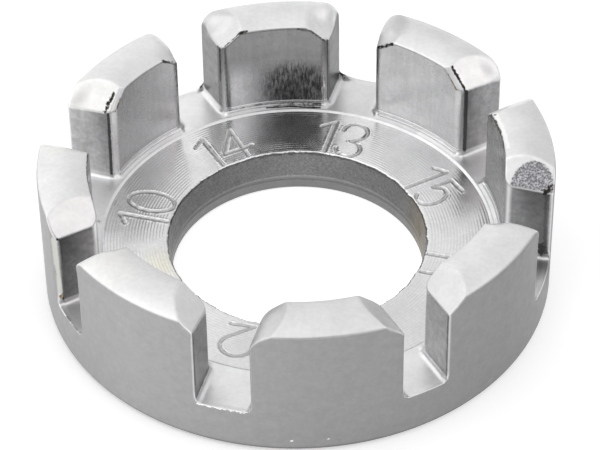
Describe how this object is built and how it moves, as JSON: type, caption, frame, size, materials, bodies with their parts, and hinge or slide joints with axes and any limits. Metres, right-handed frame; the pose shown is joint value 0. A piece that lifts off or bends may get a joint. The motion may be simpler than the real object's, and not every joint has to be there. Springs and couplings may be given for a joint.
{
  "type": "spoke wrench",
  "caption": "Round pocket spoke wrench: a flat steel ring whose upright posts leave slots of graded width that turn the nipples of bicycle spokes.",
  "frame": {"origin": "centre of the bore at the flat bottom face", "axes": "+Z along the bore's axis towards the tops of the posts; +X through the slot marked 11 and +Y through the slot marked 13"},
  "size_m": [0.042, 0.042, 0.0128],
  "materials": {
    "plated_steel": "satin plated, turned face and ground tops brighter"
  },
  "bodies": {
    "root": {"wrench_body": "plated_steel"}
  },
  "joints": []
}
